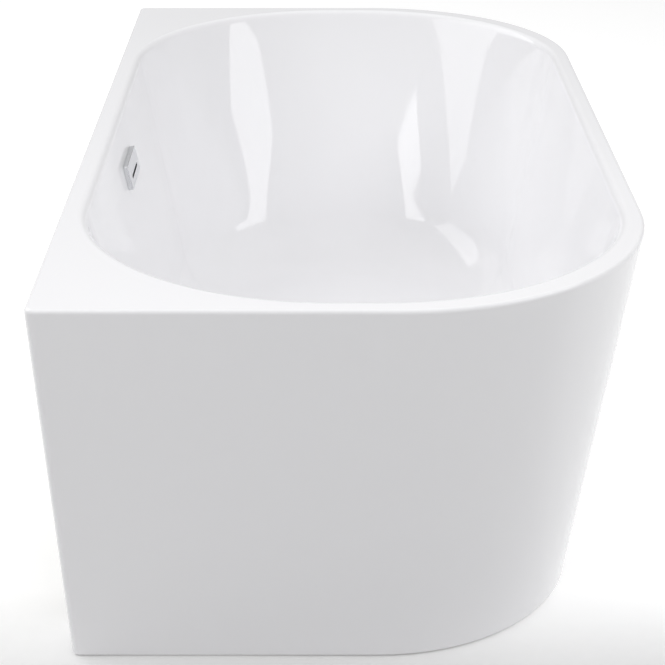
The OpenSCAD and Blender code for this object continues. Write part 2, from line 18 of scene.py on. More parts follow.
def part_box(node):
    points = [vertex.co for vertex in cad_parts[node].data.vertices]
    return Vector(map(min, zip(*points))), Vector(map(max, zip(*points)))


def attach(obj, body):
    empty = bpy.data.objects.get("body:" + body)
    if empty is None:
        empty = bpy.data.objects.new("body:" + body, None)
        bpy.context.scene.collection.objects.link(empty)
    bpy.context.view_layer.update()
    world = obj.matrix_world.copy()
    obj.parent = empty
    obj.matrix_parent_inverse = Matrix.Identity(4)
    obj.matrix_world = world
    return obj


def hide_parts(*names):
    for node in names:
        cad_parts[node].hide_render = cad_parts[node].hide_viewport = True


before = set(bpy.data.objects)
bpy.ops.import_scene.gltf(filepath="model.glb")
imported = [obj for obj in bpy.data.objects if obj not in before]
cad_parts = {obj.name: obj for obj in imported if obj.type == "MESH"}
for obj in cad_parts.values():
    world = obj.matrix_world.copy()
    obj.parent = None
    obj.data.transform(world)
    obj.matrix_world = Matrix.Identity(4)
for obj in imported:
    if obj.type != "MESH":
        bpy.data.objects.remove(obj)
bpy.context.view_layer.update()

print("CAD nodes:", len(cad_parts))

# %% [markdown]
# ## The camera
# A bath looks best from standing height through a long lens, so that its far end hardly shrinks.
# The camera looks along the bath's length and down at about 24 degrees. The small sideways shift keeps
# the long sides' vanishing point off the middle of the frame.

# %% Camera
PITCH = math.radians(24.27)
LENS_MM, SENSOR_MM, SIDE_SHIFT = 95.2, 36, 0.0136
CAMERA_PLACE = (-2.6829, 0.0388, 1.3931)
camera_data = bpy.data.cameras.new("camera")
camera_data.sensor_width = SENSOR_MM
camera_data.lens = LENS_MM
camera_data.shift_x = SIDE_SHIFT
camera = bpy.data.objects.new("camera", camera_data)
camera.location = CAMERA_PLACE
looks_along = Vector((math.cos(PITCH), 0, -math.sin(PITCH)))
camera.rotation_euler = looks_along.to_track_quat("-Z", "Y").to_euler()
bpy.context.scene.collection.objects.link(camera)
bpy.context.scene.camera = camera
print("camera at", tuple(camera.location), "with a lens of", camera_data.lens, "mm")

# %% [markdown]
# ## The bath's driving sizes
# The CAD model gives the outer box. The other sizes are the ones a bath maker would name: wall
# thickness, the radii of the mould, and the slopes that let the tub leave the mould. All are in metres.

# %% Sizes
tub_low, tub_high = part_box("bath_shell")
HALF_LENGTH, RIM_Z = tub_high.x, tub_high.z
FRONT_Y, BACK_Y = tub_low.y, tub_high.y
SKIRT_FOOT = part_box("outer_skirt")[0].z

TUB_WALL = 0.006
SKIRT_WALL = 0.005
EDGE_ROUND = 0.005
EDGE_Z = RIM_Z - EDGE_ROUND
UNDER_RIM = RIM_Z - TUB_WALL
TAPER, TAPER_WALL = 0.078, 0.017
CORNER_TOP, CORNER_FOOT, WALL_CORNER = 0.348, 0.284, 0.012

RIM_END, RIM_FRONT, RIM_WALL = 0.0285, 0.028, 0.033
OPEN_X = HALF_LENGTH - RIM_END
OPEN_Y = (BACK_Y - FRONT_Y - RIM_FRONT - RIM_WALL) / 2
MID_Y = (RIM_FRONT - RIM_WALL) / 2
BASIN_CORNER, FLOOR_CORNER = 0.340, 0.180
END_SLOPE, SIDE_SLOPE = math.radians(31), math.radians(12)
END_FILLET, SIDE_FILLET = 0.147, 0.090
ROLL = 0.013
FLOOR_Z = 0.130
WASTE_FLOOR_Z = 0.126
SEAT_Z = 0.123
DISH_R, SEAT_R, WASTE_HOLE_R = 0.058, 0.048, 0.0255
print(f"tub {2 * HALF_LENGTH:.3f} x {BACK_Y - FRONT_Y:.3f} x {RIM_Z:.3f} m")

# %% [markdown]
# ## Shader maths that reads as maths
# A finish is a small graph of nodes. Wiring each sum by hand hides what it says, so one class wraps a
# socket and lends it Python's operators, and one method adds any other node. With them a roughness can
# be written as `0.05 + 0.03 * smears`.

# %% Sockets and nodes
class Value:
    """One output of a shader node, for use in expressions such as 0.6 - 0.3 * haze."""

    def __init__(self, finish, socket):
        self.finish = finish
        self.socket = socket

    def __add__(self, other):
        return self.finish.maths("ADD", self, other)

    def __rsub__(self, other):
        return self.finish.maths("SUBTRACT", other, self)

    def __mul__(self, other):
        return self.finish.maths("MULTIPLY", self, other)

    __radd__ = __add__
    __rmul__ = __mul__


class Finish:
    """A material on the Principled shader, with constants set on it and nodes for what varies."""

    def __init__(self, name, **constants):
        self.material = bpy.data.materials.new(name)
        self.material.use_nodes = True
        self.tree = self.material.node_tree
        self.shader = self.tree.nodes["Principled BSDF"]
        for socket, value in constants.items():
            self.shader.inputs[socket.replace("_", " ")].default_value = value
        self.place = self.node("ShaderNodeTexCoord", output="Object")

    def node(self, kind, settings=None, sockets=None, output=0):
        """Adds a node, makes its settings, fills its sockets, and returns one of its outputs."""
        made = self.tree.nodes.new(kind)
        for name, value in (settings or {}).items():
            if name == "stops":
                ramp = made.color_ramp.elements
                while len(ramp) < len(value):
                    ramp.new(0.5)
                for stop, (position, colour) in zip(ramp, value):
                    stop.position, stop.color = position, colour
            else:
                setattr(made, name, value)
        for name, value in (sockets or {}).items():
            self.feed(made.inputs[name], value)
        return Value(self, made.outputs[output])

    def feed(self, socket, value):
        if isinstance(value, Value):
            self.tree.links.new(value.socket, socket)
        else:
            socket.default_value = value

    def maths(self, operation, first, second):
        return self.node("ShaderNodeMath", {"operation": operation}, {0: first, 1: second})

    def varies(self, **sockets):
        """Links what changes over the surface to the shader."""
        for socket, value in sockets.items():
            self.feed(self.shader.inputs[socket.replace("_", " ")], value)
        return self.material

    def noise(self, per_metre, detail=2.0, place=None):
        sockets = {"Vector": place or self.place, "Scale": per_metre, "Detail": detail}
        return self.node("ShaderNodeTexNoise", {}, sockets)

    def stretched(self, turn, stretch):
        """Object coordinates turned and then drawn out, so that a pattern on them runs in streaks."""
        sockets = {"Vector": self.place, "Rotation": turn, "Scale": stretch}
        return self.node("ShaderNodeMapping", {"vector_type": "TEXTURE"}, sockets)

    def ramp(self, factor, *stops):
        return self.node("ShaderNodeValToRGB", {"stops": stops}, {"Fac": factor})

    def mix(self, factor, first, second):
        """A mix of two colours."""
        sockets = {"Factor": factor, 6: first, 7: second}
        return self.node("ShaderNodeMix", {"data_type": "RGBA"}, sockets, output=2)

    def bump(self, height, strength, depth):
        sockets = {"Height": height, "Strength": strength, "Distance": depth}
        return self.node("ShaderNodeBump", {}, sockets)


def grey(level):
    return (level, level, level, 1.0)


print("the shader helpers are ready")

# %% [markdown]
# ## Sanitary acrylic
# The tub and the skirt are sheets of cast acrylic. It is a clean white under a hard polish, so lamps
# show in it with crisp edges. Two slow patterns keep it from looking computed: a haze in the polish,
# which changes the roughness by a few hundredths, and a ripple from the mould of a few microns.

# %% Acrylic
def make_acrylic():
    finish = Finish("acrylic", IOR=1.49, Specular_IOR_Level=0.5)
    haze = finish.noise(9, detail=3)
    cloud = finish.noise(2.2, detail=1)
    ripple = finish.noise(26, detail=1)
    colour = finish.mix(cloud, (0.872, 0.870, 0.888, 1), (0.889, 0.886, 0.900, 1))
    return finish.varies(
        Base_Color=colour,
        Roughness=0.035 + 0.03 * haze,
        Normal=finish.bump(ripple, 0.05, 0.0006))


acrylic = make_acrylic()
print("finish:", acrylic.name)

# %% [markdown]
# ## Glass-fibre backing
# Thin acrylic is weak, so its hidden side is sprayed with resin and chopped glass strands. Strands lie
# in every direction. Four noises, each drawn out along its own direction, are laid over each other
# to give that mat, and a slower noise makes the resin pool.

# %% Glass fibre
def make_glass_fibre():
    finish = Finish("glass_fibre", IOR=1.5)
    strands = None
    for turn in ((0.2, 0.1, 0.3), (0.5, 1.1, 1.2), (0.3, 2.3, 2.4), (0.9, 1.7, 0.8)):
        layer = finish.noise(420, detail=1, place=finish.stretched(turn, (9.0, 1.0, 1.0)))
        strands = layer if strands is None else finish.maths("MAXIMUM", strands, layer)
    pools = finish.noise(14, detail=3)
    light = finish.ramp(strands, (0.50, (0.60, 0.60, 0.55, 1)), (0.72, (0.80, 0.80, 0.75, 1)))
    colour = finish.mix(0.35 * pools, light, (0.70, 0.68, 0.58, 1))
    return finish.varies(
        Base_Color=colour,
        Roughness=0.62 - 0.3 * pools,
        Normal=finish.bump(strands + 0.8 * pools, 0.7, 0.0012))


glass_fibre = make_glass_fibre()
print("finish:", glass_fibre.name)

# %% [markdown]
# ## Steel, chrome and zinc
# The frame is powder coated, which leaves a fine orange peel. Screws, studs and nuts are zinc plated,
# with a faint spangle that shifts in brightness. The overflow cover and the plug are chrome: almost a
# mirror, with only a breath of haze.

# %% Metals
def make_powder_coat():
    finish = Finish("powder_coat", IOR=1.5)
    peel = finish.noise(650, detail=1)
    dust = finish.noise(18, detail=4)
    colour = finish.mix(dust, (0.030, 0.032, 0.035, 1), (0.060, 0.062, 0.065, 1))
    return finish.varies(Base_Color=colour, Roughness=0.34 + 0.22 * dust,
                         Normal=finish.bump(peel, 0.35, 0.0003))


def make_zinc():
    finish = Finish("zinc", Metallic=1.0)
    spangle = finish.node("ShaderNodeTexVoronoi", {}, {"Vector": finish.place, "Scale": 420})
    bloom = finish.noise(60, detail=3)
    colour = finish.mix(bloom, (0.56, 0.57, 0.58, 1), (0.70, 0.70, 0.69, 1))
    return finish.varies(Base_Color=colour, Roughness=0.24 + 0.25 * spangle + 0.08 * bloom,
                         Normal=finish.bump(spangle, 0.15, 0.0001))


def make_chrome():
    finish = Finish("chrome", Metallic=1.0)
    haze = finish.noise(45, detail=3)
    colour = finish.mix(haze, (0.70, 0.71, 0.73, 1), (0.76, 0.77, 0.78, 1))
    return finish.varies(Base_Color=colour, Roughness=0.05 + 0.05 * haze)


powder_coat, zinc, chrome = make_powder_coat(), make_zinc(), make_chrome()
print("finishes:", powder_coat.name, zinc.name, chrome.name)

# %% [markdown]
# ## Plastics, rubber and board
# Moulded plastics share one recipe: a fine spark-eroded grain, and a colour that is a little uneven.
# Only the colour and the gloss differ. The board under the tub is chipboard, where each chip is a
# Voronoi cell with its own shade.

# %% Plastics, rubber and board
def make_plastic(name, dark, light, roughness, grain=0.12):
    finish = Finish(name, IOR=1.47)
    pores = finish.noise(900, detail=2)
    flow = finish.noise(30, detail=2)
    return finish.varies(Base_Color=finish.mix(flow, dark, light),
                         Roughness=roughness + 0.12 * pores,
                         Normal=finish.bump(pores, grain, 0.0002))


white_plastic = make_plastic("white_plastic", (0.72, 0.72, 0.70, 1), (0.80, 0.80, 0.78, 1), 0.28)
grey_plastic = make_plastic("grey_plastic", (0.20, 0.21, 0.22, 1), (0.27, 0.28, 0.29, 1), 0.36)
black_plastic = make_plastic("black_plastic", grey(0.018), grey(0.032), 0.42, grain=0.3)
rubber = make_plastic("rubber", grey(0.012), grey(0.022), 0.60, grain=0.2)


def make_chipboard():
    finish = Finish("chipboard", IOR=1.45)
    place = finish.stretched((0, 0, 0.2), (2.4, 1.7, 1.0))
    chips = {"Vector": place, "Scale": 260, "Randomness": 1.0}
    shade = finish.node("ShaderNodeTexVoronoi", {}, chips, output="Color")
    grain = finish.noise(520, detail=4, place=finish.stretched((0, 0, 0.5), (5.0, 1.0, 1.0)))
    tone = finish.node("ShaderNodeSeparateColor", {}, {"Color": shade})
    colour = finish.ramp(0.75 * tone + 0.25 * grain, (0.0, (0.30, 0.19, 0.10, 1)),
                         (0.35, (0.50, 0.35, 0.20, 1)), (0.75, (0.62, 0.46, 0.28, 1)),
                         (1.0, (0.72, 0.58, 0.38, 1)))
    return finish.varies(Base_Color=colour, Roughness=0.62 + 0.2 * grain,
                         Normal=finish.bump(tone + grain, 0.4, 0.0005))


chipboard = make_chipboard()
print("finishes:", white_plastic.name, grey_plastic.name, black_plastic.name)
print("finishes:", rubber.name, chipboard.name)

# %% [markdown]
# ## Loops and lofts
# Almost every part of this bath is a stack of rounded rectangles: the rim, the basin, the skirt, even
# the overflow cover. A loop starts as four vertices joined by edges. Beveling a vertex rounds that
# corner, and subdividing the long edges keeps the faces short. Loops made in the same way have the
# same number of vertices, so bridging them in order gives clean bands of quads.

# %% Loops and lofts
Plan = namedtuple("Plan", "half front back front_r wall_r")
CORNER_STEPS = 24
SIDE_CUTS = 13
LEAST_RADIUS = 0.0004
LIFT = 0.2


def moved_in(plan, distance):
    """The same outline, moved in on all sides."""
    return Plan(plan.half - distance, plan.front + distance, plan.back - distance,
                max(plan.front_r - distance, LEAST_RADIUS), max(plan.wall_r - distance, LEAST_RADIUS))


def between(first, last, share):
    """The outline part of the way from one outline to another."""
    return Plan(*(a + (b - a) * share for a, b in zip(first, last)))


def rounded_loop(bm, plan, z, corner_steps=CORNER_STEPS, side_cuts=SIDE_CUTS):
    """A level loop of edges: a rectangle with beveled corners."""
    corners = [(-plan.half, plan.front), (plan.half, plan.front),
               (plan.half, plan.back), (-plan.half, plan.back)]
    front = [bm.verts.new((x, y, z)) for x, y in corners[:2]]
    back = [bm.verts.new((x, y, z)) for x, y in corners[2:]]
    ring = front + back
    for i in range(4):
        bm.edges.new((ring[i - 1], ring[i]))
    loop = set()
    for pair, radius in ((front, plan.front_r), (back, plan.wall_r)):
        rounded = bmesh.ops.bevel(bm, geom=pair, affect="VERTICES", offset=radius,
                                  segments=corner_steps, profile=0.5, material=-1)
        loop.update(rounded["verts"])
    edges = {edge for vert in loop for edge in vert.link_edges}
    tiny = 1e-7
    straight = [e for e in edges if any(abs(e.verts[0].co[k] - e.verts[1].co[k]) < tiny for k in (0, 1))]
    cut = bmesh.ops.subdivide_edges(bm, edges=straight, cuts=side_cuts)
    edges.update(part for part in cut["geom"] if isinstance(part, bmesh.types.BMEdge))
    return [edge for edge in edges if edge.is_valid]


def loop_verts(loop):
    return {vert for edge in loop for vert in edge.verts}


def round_off(loop, x, y, radius):
    """Pushes a loop's vertices out to a circle."""
    for vert in loop_verts(loop):
        away = Vector((vert.co.x - x, vert.co.y - y)).normalized() * radius
        vert.co.x, vert.co.y = x + away.x, y + away.y


def loft(bm, loops, material=0):
    """Bridges loops in order. Two level loops at one height would bridge wrongly, so one is lifted."""
    lift = Vector((0, 0, LIFT))
    for first, second in zip(loops, loops[1:]):
        lifted = list(loop_verts(second))
        bmesh.ops.translate(bm, verts=lifted, vec=lift)
        band = bmesh.ops.bridge_loops(bm, edges=first + second)
        bmesh.ops.translate(bm, verts=lifted, vec=-lift)
        for face in band["faces"]:
            face.material_index = material


def steps(first, last, count):
    """Evenly spaced numbers, both ends included."""
    return [first + (last - first) * i / count for i in range(count + 1)]


print("a loop has", 4 * (CORNER_STEPS + 1 + SIDE_CUTS), "vertices")

# %% [markdown]
# ## From mesh to piece
# Every piece ends the same way: its normals are turned outwards, it is shaded smooth with creases where
# it really has edges, it rides on a body of the CAD model, and it hides the CAD part it stands for.
# Holes that cross a curved wall are cut with a Boolean, applied at once so that no modifier is left.

# %% Finishing a piece
def make_piece(bm, name, finishes, replaces, body="tub", crease=38):
    bmesh.ops.recalc_face_normals(bm, faces=bm.faces)
    if bm.calc_volume(signed=True) < 0:
        bmesh.ops.reverse_faces(bm, faces=bm.faces)
    mesh = bpy.data.meshes.new(name)
    bm.to_mesh(mesh)
    bm.free()
    for finish in finishes:
        mesh.materials.append(finish)
    piece = bpy.data.objects.new(name, mesh)
    bpy.context.scene.collection.objects.link(piece)
    shade(piece, crease)
    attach(piece, body)
    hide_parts(*replaces)
    return piece


def shade(piece, crease=38):
    piece.data.shade_smooth()
    piece.data.set_sharp_from_angle(angle=math.radians(crease))


def cut_out(piece, cutter_bm):
    """Cuts a solid out of a piece and keeps the result as its mesh."""
    bmesh.ops.recalc_face_normals(cutter_bm, faces=cutter_bm.faces)
    cutter_mesh = bpy.data.meshes.new("cutter")
    cutter_bm.to_mesh(cutter_mesh)
    cutter_bm.free()
    cutter = bpy.data.objects.new("cutter", cutter_mesh)
    bpy.context.scene.collection.objects.link(cutter)
    carve = piece.modifiers.new("carve", "BOOLEAN")
    carve.operation, carve.solver, carve.object = "DIFFERENCE", "EXACT", cutter
    whole = piece.data
    graph = bpy.context.evaluated_depsgraph_get()
    piece.data = bpy.data.meshes.new_from_object(piece.evaluated_get(graph))
    piece.modifiers.clear()
    bpy.data.objects.remove(cutter)
    name = whole.name
    bpy.data.meshes.remove(whole)
    piece.data.name = name
    shade(piece)


def say(piece):
    low, high = (Vector(piece.bound_box[i]) for i in (0, 6))
    size = " x ".join(f"{1000 * side:.0f}" for side in high - low)
    print(f"{piece.name}: {len(piece.data.polygons)} faces, {size} mm")


print("pieces can be finished")

# %% [markdown]
# ## The outline of the skirt and the basin
# The skirt tapers to the ground, so its outline is a function of height. The basin's wall has three
# parts: a small roll down from the rim, a straight slope, and a large fillet onto the floor. The same
# function with a thickness gives the hidden side of the wall, because each arc keeps its centre.

# %% Outlines
def skirt_plan(z):
    rise = min(1.0, z / EDGE_Z)
    draw_in, draw_in_wall = TAPER * (1 - rise), TAPER_WALL * (1 - rise)
    return Plan(HALF_LENGTH - draw_in, FRONT_Y + draw_in, BACK_Y - draw_in_wall,
                CORNER_FOOT + (CORNER_TOP - CORNER_FOOT) * rise, WALL_CORNER)


def tangent(radius, slope):
    """How far an arc reaches from the corner that it rounds."""
    return radius * math.tan((math.pi / 2 - slope) / 2)


def inset(z, slope, fillet, wall=0.0):
    """How far the basin's wall stands in from the opening at height z."""
    roll_centre, fillet_centre = RIM_Z - ROLL, FLOOR_Z + fillet
    if z > roll_centre + (ROLL - wall) * math.sin(slope):
        across = math.sqrt(max(0.0, (ROLL - wall) ** 2 - (z - roll_centre) ** 2))
        return across - tangent(ROLL, slope)
    if z < fillet_centre - (fillet + wall) * math.sin(slope):
        foot = (RIM_Z - FLOOR_Z) * math.tan(slope) + tangent(fillet, slope)
        return foot - math.sqrt(max(0.0, (fillet + wall) ** 2 - (fillet_centre - z) ** 2))
    return (RIM_Z - z) * math.tan(slope) - wall / math.cos(slope)


def basin_plan(z, wall=0.0):
    down = min(1.0, (RIM_Z - z) / (RIM_Z - FLOOR_Z))
    side = inset(z, SIDE_SLOPE, SIDE_FILLET, wall)
    half = OPEN_X - inset(z, END_SLOPE, END_FILLET, wall)
    corner = BASIN_CORNER + (FLOOR_CORNER - BASIN_CORNER) * down + wall - min(0.0, side)
    return Plan(half, MID_Y - OPEN_Y + side, MID_Y + OPEN_Y - side, corner, corner)


def basin_heights(wall=0.0):
    """Heights of the basin's loops, close together where the wall curves most."""
    roll_centre, fillet_centre = RIM_Z - ROLL, FLOOR_Z + END_FILLET
    roll = [roll_centre + (ROLL - wall) * math.cos(a) for a in steps(0, math.pi / 2 - SIDE_SLOPE, 8)]
    fillet = [fillet_centre - (END_FILLET + wall) * math.cos(a)
              for a in steps(math.pi / 2 - END_SLOPE, 0, 14)]
    return roll + steps(roll[-1], fillet[0], 9)[1:-1] + fillet


print("rim outline:", tuple(round(size, 3) for size in skirt_plan(RIM_Z)))
print("floor outline:", tuple(round(size, 3) for size in basin_plan(FLOOR_Z)))

# %% [markdown]
# ## The tub
# The tub is one sheet, 6 mm thick, so it is one closed loft: up the outer edge, over the rim, down the
# basin to the waste, through the waste hole, and back out along the hidden side. A loop just before
# and just after each arc keeps the flat rim flat, because smooth shading blends the normals of
# neighbouring faces. The floor falls gently to a shallow recess for the waste.

# %% Tub
HOLD = 0.0005  # distance of a holding loop from the arc it guards
RECESS_STEPS = 6


def outer_edge_loops(bm):
    loops = [rounded_loop(bm, skirt_plan(UNDER_RIM), UNDER_RIM)]
    for angle in steps(0, math.pi / 2, 6):
        plan = moved_in(skirt_plan(EDGE_Z), EDGE_ROUND * (1 - math.cos(angle)))
        loops.append(rounded_loop(bm, plan, EDGE_Z + EDGE_ROUND * math.sin(angle)))
    loops.append(rounded_loop(bm, moved_in(skirt_plan(EDGE_Z), EDGE_ROUND + HOLD), RIM_Z))
    return loops


def recess_loops(bm, wall):
    """The floor's fall to the waste, and the recess that the waste sits in."""
    def well(radius):
        return Plan(radius, MID_Y - radius, MID_Y + radius, 0.94 * radius, 0.94 * radius)

    edge = basin_plan(FLOOR_Z - wall, wall)
    loops = [rounded_loop(bm, between(edge, well(DISH_R + wall), share),
                          FLOOR_Z + (WASTE_FLOOR_Z - FLOOR_Z) * share - wall)
             for share in (0.08, 0.3, 0.55, 0.8)]
    for share in steps(0, 1, RECESS_STEPS):
        drop = (WASTE_FLOOR_Z - SEAT_Z) * (1 - math.cos(math.pi * share)) / 2
        radius = DISH_R + (SEAT_R - DISH_R) * share + wall
        loops.append(rounded_loop(bm, well(radius), WASTE_FLOOR_Z - drop - wall))
    for radius in (0.75 * SEAT_R, WASTE_HOLE_R):
        loops.append(rounded_loop(bm, well(radius), SEAT_Z - wall))
        round_off(loops[-1], 0, MID_Y, radius)
    return loops


def build_tub():
    bm = bmesh.new()
    rim = outer_edge_loops(bm)
    lip = moved_in(basin_plan(RIM_Z), -HOLD)
    shown = rim + [rounded_loop(bm, lip, RIM_Z)]
    shown += [rounded_loop(bm, basin_plan(z), z) for z in basin_heights()]
    shown += recess_loops(bm, 0.0)
    hidden = [rounded_loop(bm, basin_plan(z, TUB_WALL), z) for z in basin_heights(TUB_WALL)]
    hidden += recess_loops(bm, TUB_WALL)
    loft(bm, shown)
    loft(bm, [shown[-1], hidden[-1]])
    loft(bm, hidden, material=1)
    loft(bm, [hidden[0], shown[0]], material=1)
    return make_piece(bm, "tub", [acrylic, glass_fibre], ["bath_shell"])


tub = build_tub()
say(tub)

# %% [markdown]
# ## The skirt
# The skirt is a second moulding, glued under the rim so closely that the two look like one. Its flange
# turns in under the rim. The wall side has a large cut-out for the plumbing, cut with a Boolean, whose
# faces take the glass-fibre finish because a saw has opened the laminate there.

# %% Skirt
FLANGE_WIDTH, FLANGE_THICK = 0.015, 0.005
CUT_HALF, CUT_TOP, CUT_R = 0.580, 0.498, 0.040
CUTTER_DEEP, CUTTER_BELOW = 0.1, 0.02
FOOT_ROUND = 0.0008


def build_skirt():
    bm = bmesh.new()
    heights = steps(UNDER_RIM, SKIRT_FOOT + FOOT_ROUND, 8)
    under_flange = UNDER_RIM - FLANGE_THICK
    outside = [rounded_loop(bm, skirt_plan(z), z) for z in heights]
    outside += [rounded_loop(bm, moved_in(skirt_plan(SKIRT_FOOT), FOOT_ROUND), SKIRT_FOOT)]
    foot = [rounded_loop(bm, moved_in(skirt_plan(SKIRT_FOOT), SKIRT_WALL), SKIRT_FOOT)]
    inside = [rounded_loop(bm, moved_in(skirt_plan(z), SKIRT_WALL), z)
              for z in steps(SKIRT_FOOT, under_flange, 8)[1:]]
    flange = [rounded_loop(bm, moved_in(skirt_plan(z), FLANGE_WIDTH), z)
              for z in (under_flange, UNDER_RIM)]
    loft(bm, outside + foot)
    loft(bm, foot + inside + flange + outside[:1], material=1)
    return make_piece(bm, "skirt", [acrylic, glass_fibre], ["outer_skirt"])


def plumbing_cutter():
    """A block with two round corners that reaches through the wall side."""
    bm = bmesh.new()
    y = BACK_Y - CUTTER_DEEP / 2
    corners = [(-CUT_HALF, -CUTTER_BELOW), (CUT_HALF, -CUTTER_BELOW),
               (CUT_HALF, CUT_TOP), (-CUT_HALF, CUT_TOP)]
    face = bm.faces.new([bm.verts.new((x, y, z)) for x, z in corners])
    bmesh.ops.bevel(bm, geom=face.verts[2:], affect="VERTICES", offset=CUT_R, segments=16,
                    profile=0.5, material=-1)
    pulled = bmesh.ops.extrude_face_region(bm, geom=bm.faces[:])
    front = [part for part in pulled["geom"] if isinstance(part, bmesh.types.BMVert)]
    bmesh.ops.translate(bm, verts=front, vec=(0, CUTTER_DEEP, 0))
    for side in bm.faces:
        side.material_index = 1
    return bm


skirt = build_skirt()
cut_out(skirt, plumbing_cutter())
say(skirt)

# %% [markdown]
# ## Spinning and placing
# Round parts start as a profile of radius and height, spun once about Z with its seam merged. A small
# bevel on the profile's corners gives every moulded edge its highlight. A matrix then puts the finished
# mesh where the part belongs, so the object itself stays at the origin.

# %% Spinning
RIB_REACH = 0.0006  # how near the outside a vertex lies to be pressed in
GROOVE_START, GROOVE_END = 0.2, 0.8  # where a groove lies in its share of the turn


def spun(bm, profile, turns=96, rounded=0.0, closed=True):
    """Spins a profile of (radius, height) about Z, and returns the new vertices."""
    before = set(bm.verts)
    line = [bm.verts.new((radius, 0, z)) for radius, z in profile]
    pairs = list(zip(line, line[1:])) + ([(line[-1], line[0])] if closed else [])
    edges = [bm.edges.new(pair) for pair in pairs]
    if rounded:
        corners = line if closed else line[1:-1]
        bmesh.ops.bevel(bm, geom=corners, affect="VERTICES", offset=rounded, segments=3,
                        profile=0.5, material=-1)
        line = [vert for vert in bm.verts if vert not in before]
        edges = list({edge for vert in line for edge in vert.link_edges})
    bmesh.ops.spin(bm, geom=line + edges, cent=(0, 0, 0), axis=(0, 0, 1), dvec=(0, 0, 0),
                   angle=math.tau, steps=turns, use_merge=True)
    made = [vert for vert in bm.verts if vert not in before]
    bmesh.ops.remove_doubles(bm, verts=made, dist=1e-6)
    return [vert for vert in made if vert.is_valid]


def tube_profile(outer, inner, low, high):
    return [(inner, low), (outer, low), (outer, high), (inner, high)]


def ribs(verts, radius, depth, count):
    """Presses grooves into the outside of a spun shape, and so leaves that many ribs."""
    for vert in verts:
        turn = math.atan2(vert.co.y, vert.co.x) / math.tau * count % 1.0
        if abs(vert.co.xy.length - radius) < RIB_REACH and GROOVE_START < turn < GROOVE_END:
            vert.co.xy *= 1 - depth / radius


def put(bm, verts, matrix):
    bmesh.ops.transform(bm, matrix=matrix, verts=verts)


at_waste = Matrix.Translation((0, MID_Y, 0))
print("the waste stands on x, y =", tuple(round(c, 4) for c in at_waste.translation.xy))

# %% [markdown]
# ## The waste
# A chrome ring lies in the recess on a rubber seal, and carries a barrel that screws into the body
# below. Three thin arms in the barrel hold the click mechanism. The plug's cap is a shallow dome with
# a rolled edge, and it rides on its own body because it rises when pressed.

# %% Waste
FLANGE_R, FLANGE_LOW, FLANGE_TOP = 0.035, 0.1245, 0.1275
BARREL_R, THROAT_R, BARREL_LOW = 0.0225, 0.0205, 0.065
HUB_R, HUB_BORE, HUB_LOW, HUB_TOP = 0.011, 0.00805, 0.081, 0.085
ARM_X, ARM_SIZE, ARM_EDGE = 0.0158, (0.0100, 0.003, 0.0036), 0.0004
CAP_R, CAP_LOW, CAP_TOP = 0.031, 0.128, 0.133
CROWN_FALL, CROWN_R = 0.0017, 0.028


def add_arm(bm, turn):
    """One of the arms that hold the hub in the middle of the barrel."""
    arm = bmesh.ops.create_cube(bm, size=1.0)["verts"]
    at_arm = Matrix.Translation((ARM_X, 0, (HUB_LOW + HUB_TOP) / 2))
    turned = Matrix.Rotation(math.radians(turn), 4, "Z")
    put(bm, arm, turned @ at_arm @ Matrix.Diagonal((*ARM_SIZE, 1)))
    edges = list({edge for vert in arm for edge in vert.link_edges})
    bmesh.ops.bevel(bm, geom=edges, affect="EDGES", offset=ARM_EDGE, segments=2,
                    profile=0.5, material=-1)


def build_waste_ring():
    bm = bmesh.new()
    profile = [(THROAT_R, BARREL_LOW), (BARREL_R, BARREL_LOW), (BARREL_R, FLANGE_LOW),
               (FLANGE_R, FLANGE_LOW), (FLANGE_R - 0.0004, FLANGE_TOP - 0.0010),
               (FLANGE_R - 0.0026, FLANGE_TOP), (CAP_R - 0.002, FLANGE_TOP),
               (THROAT_R, FLANGE_LOW)]
    spun(bm, profile, rounded=0.0003)
    spun(bm, tube_profile(HUB_R, HUB_BORE, HUB_LOW, HUB_TOP), turns=48, rounded=0.0003)
    for turn in (30, 150, 270):
        add_arm(bm, turn)
    put(bm, bm.verts, at_waste)
    return make_piece(bm, "waste_ring", [chrome], ["waste_flange"])


def build_plug():
    bm = bmesh.new()
    dome = [(0, CAP_LOW), (CAP_R - 0.0014, CAP_LOW), (CAP_R - 0.0002, CAP_LOW + 0.0008),
            (CAP_R - 0.0004, CAP_LOW + 0.0018), (CAP_R - 0.0020, CAP_LOW + 0.0029)]
    dome += [(radius, CAP_TOP - CROWN_FALL * (radius / CROWN_R) ** 2)
             for radius in (0.026, 0.021, 0.014, 0.007, 0)]
    spun(bm, dome, rounded=0.0003, closed=False)
    put(bm, bm.verts, at_waste)
    return make_piece(bm, "plug_dome", [chrome], ["plug_cap"], body="plug")


waste_ring, plug_dome = build_waste_ring(), build_plug()
say(waste_ring)
say(plug_dome)

# %% [markdown]
# ## The overflow
# The cover is one folded-looking block of chrome, open at the back, with a slot low in its face. It is a
# loft like the tub: round the outside, over the face, in through the slot, and back along the inside.
# It stands square to the sloping wall, so one matrix turns it up by the wall's slope.

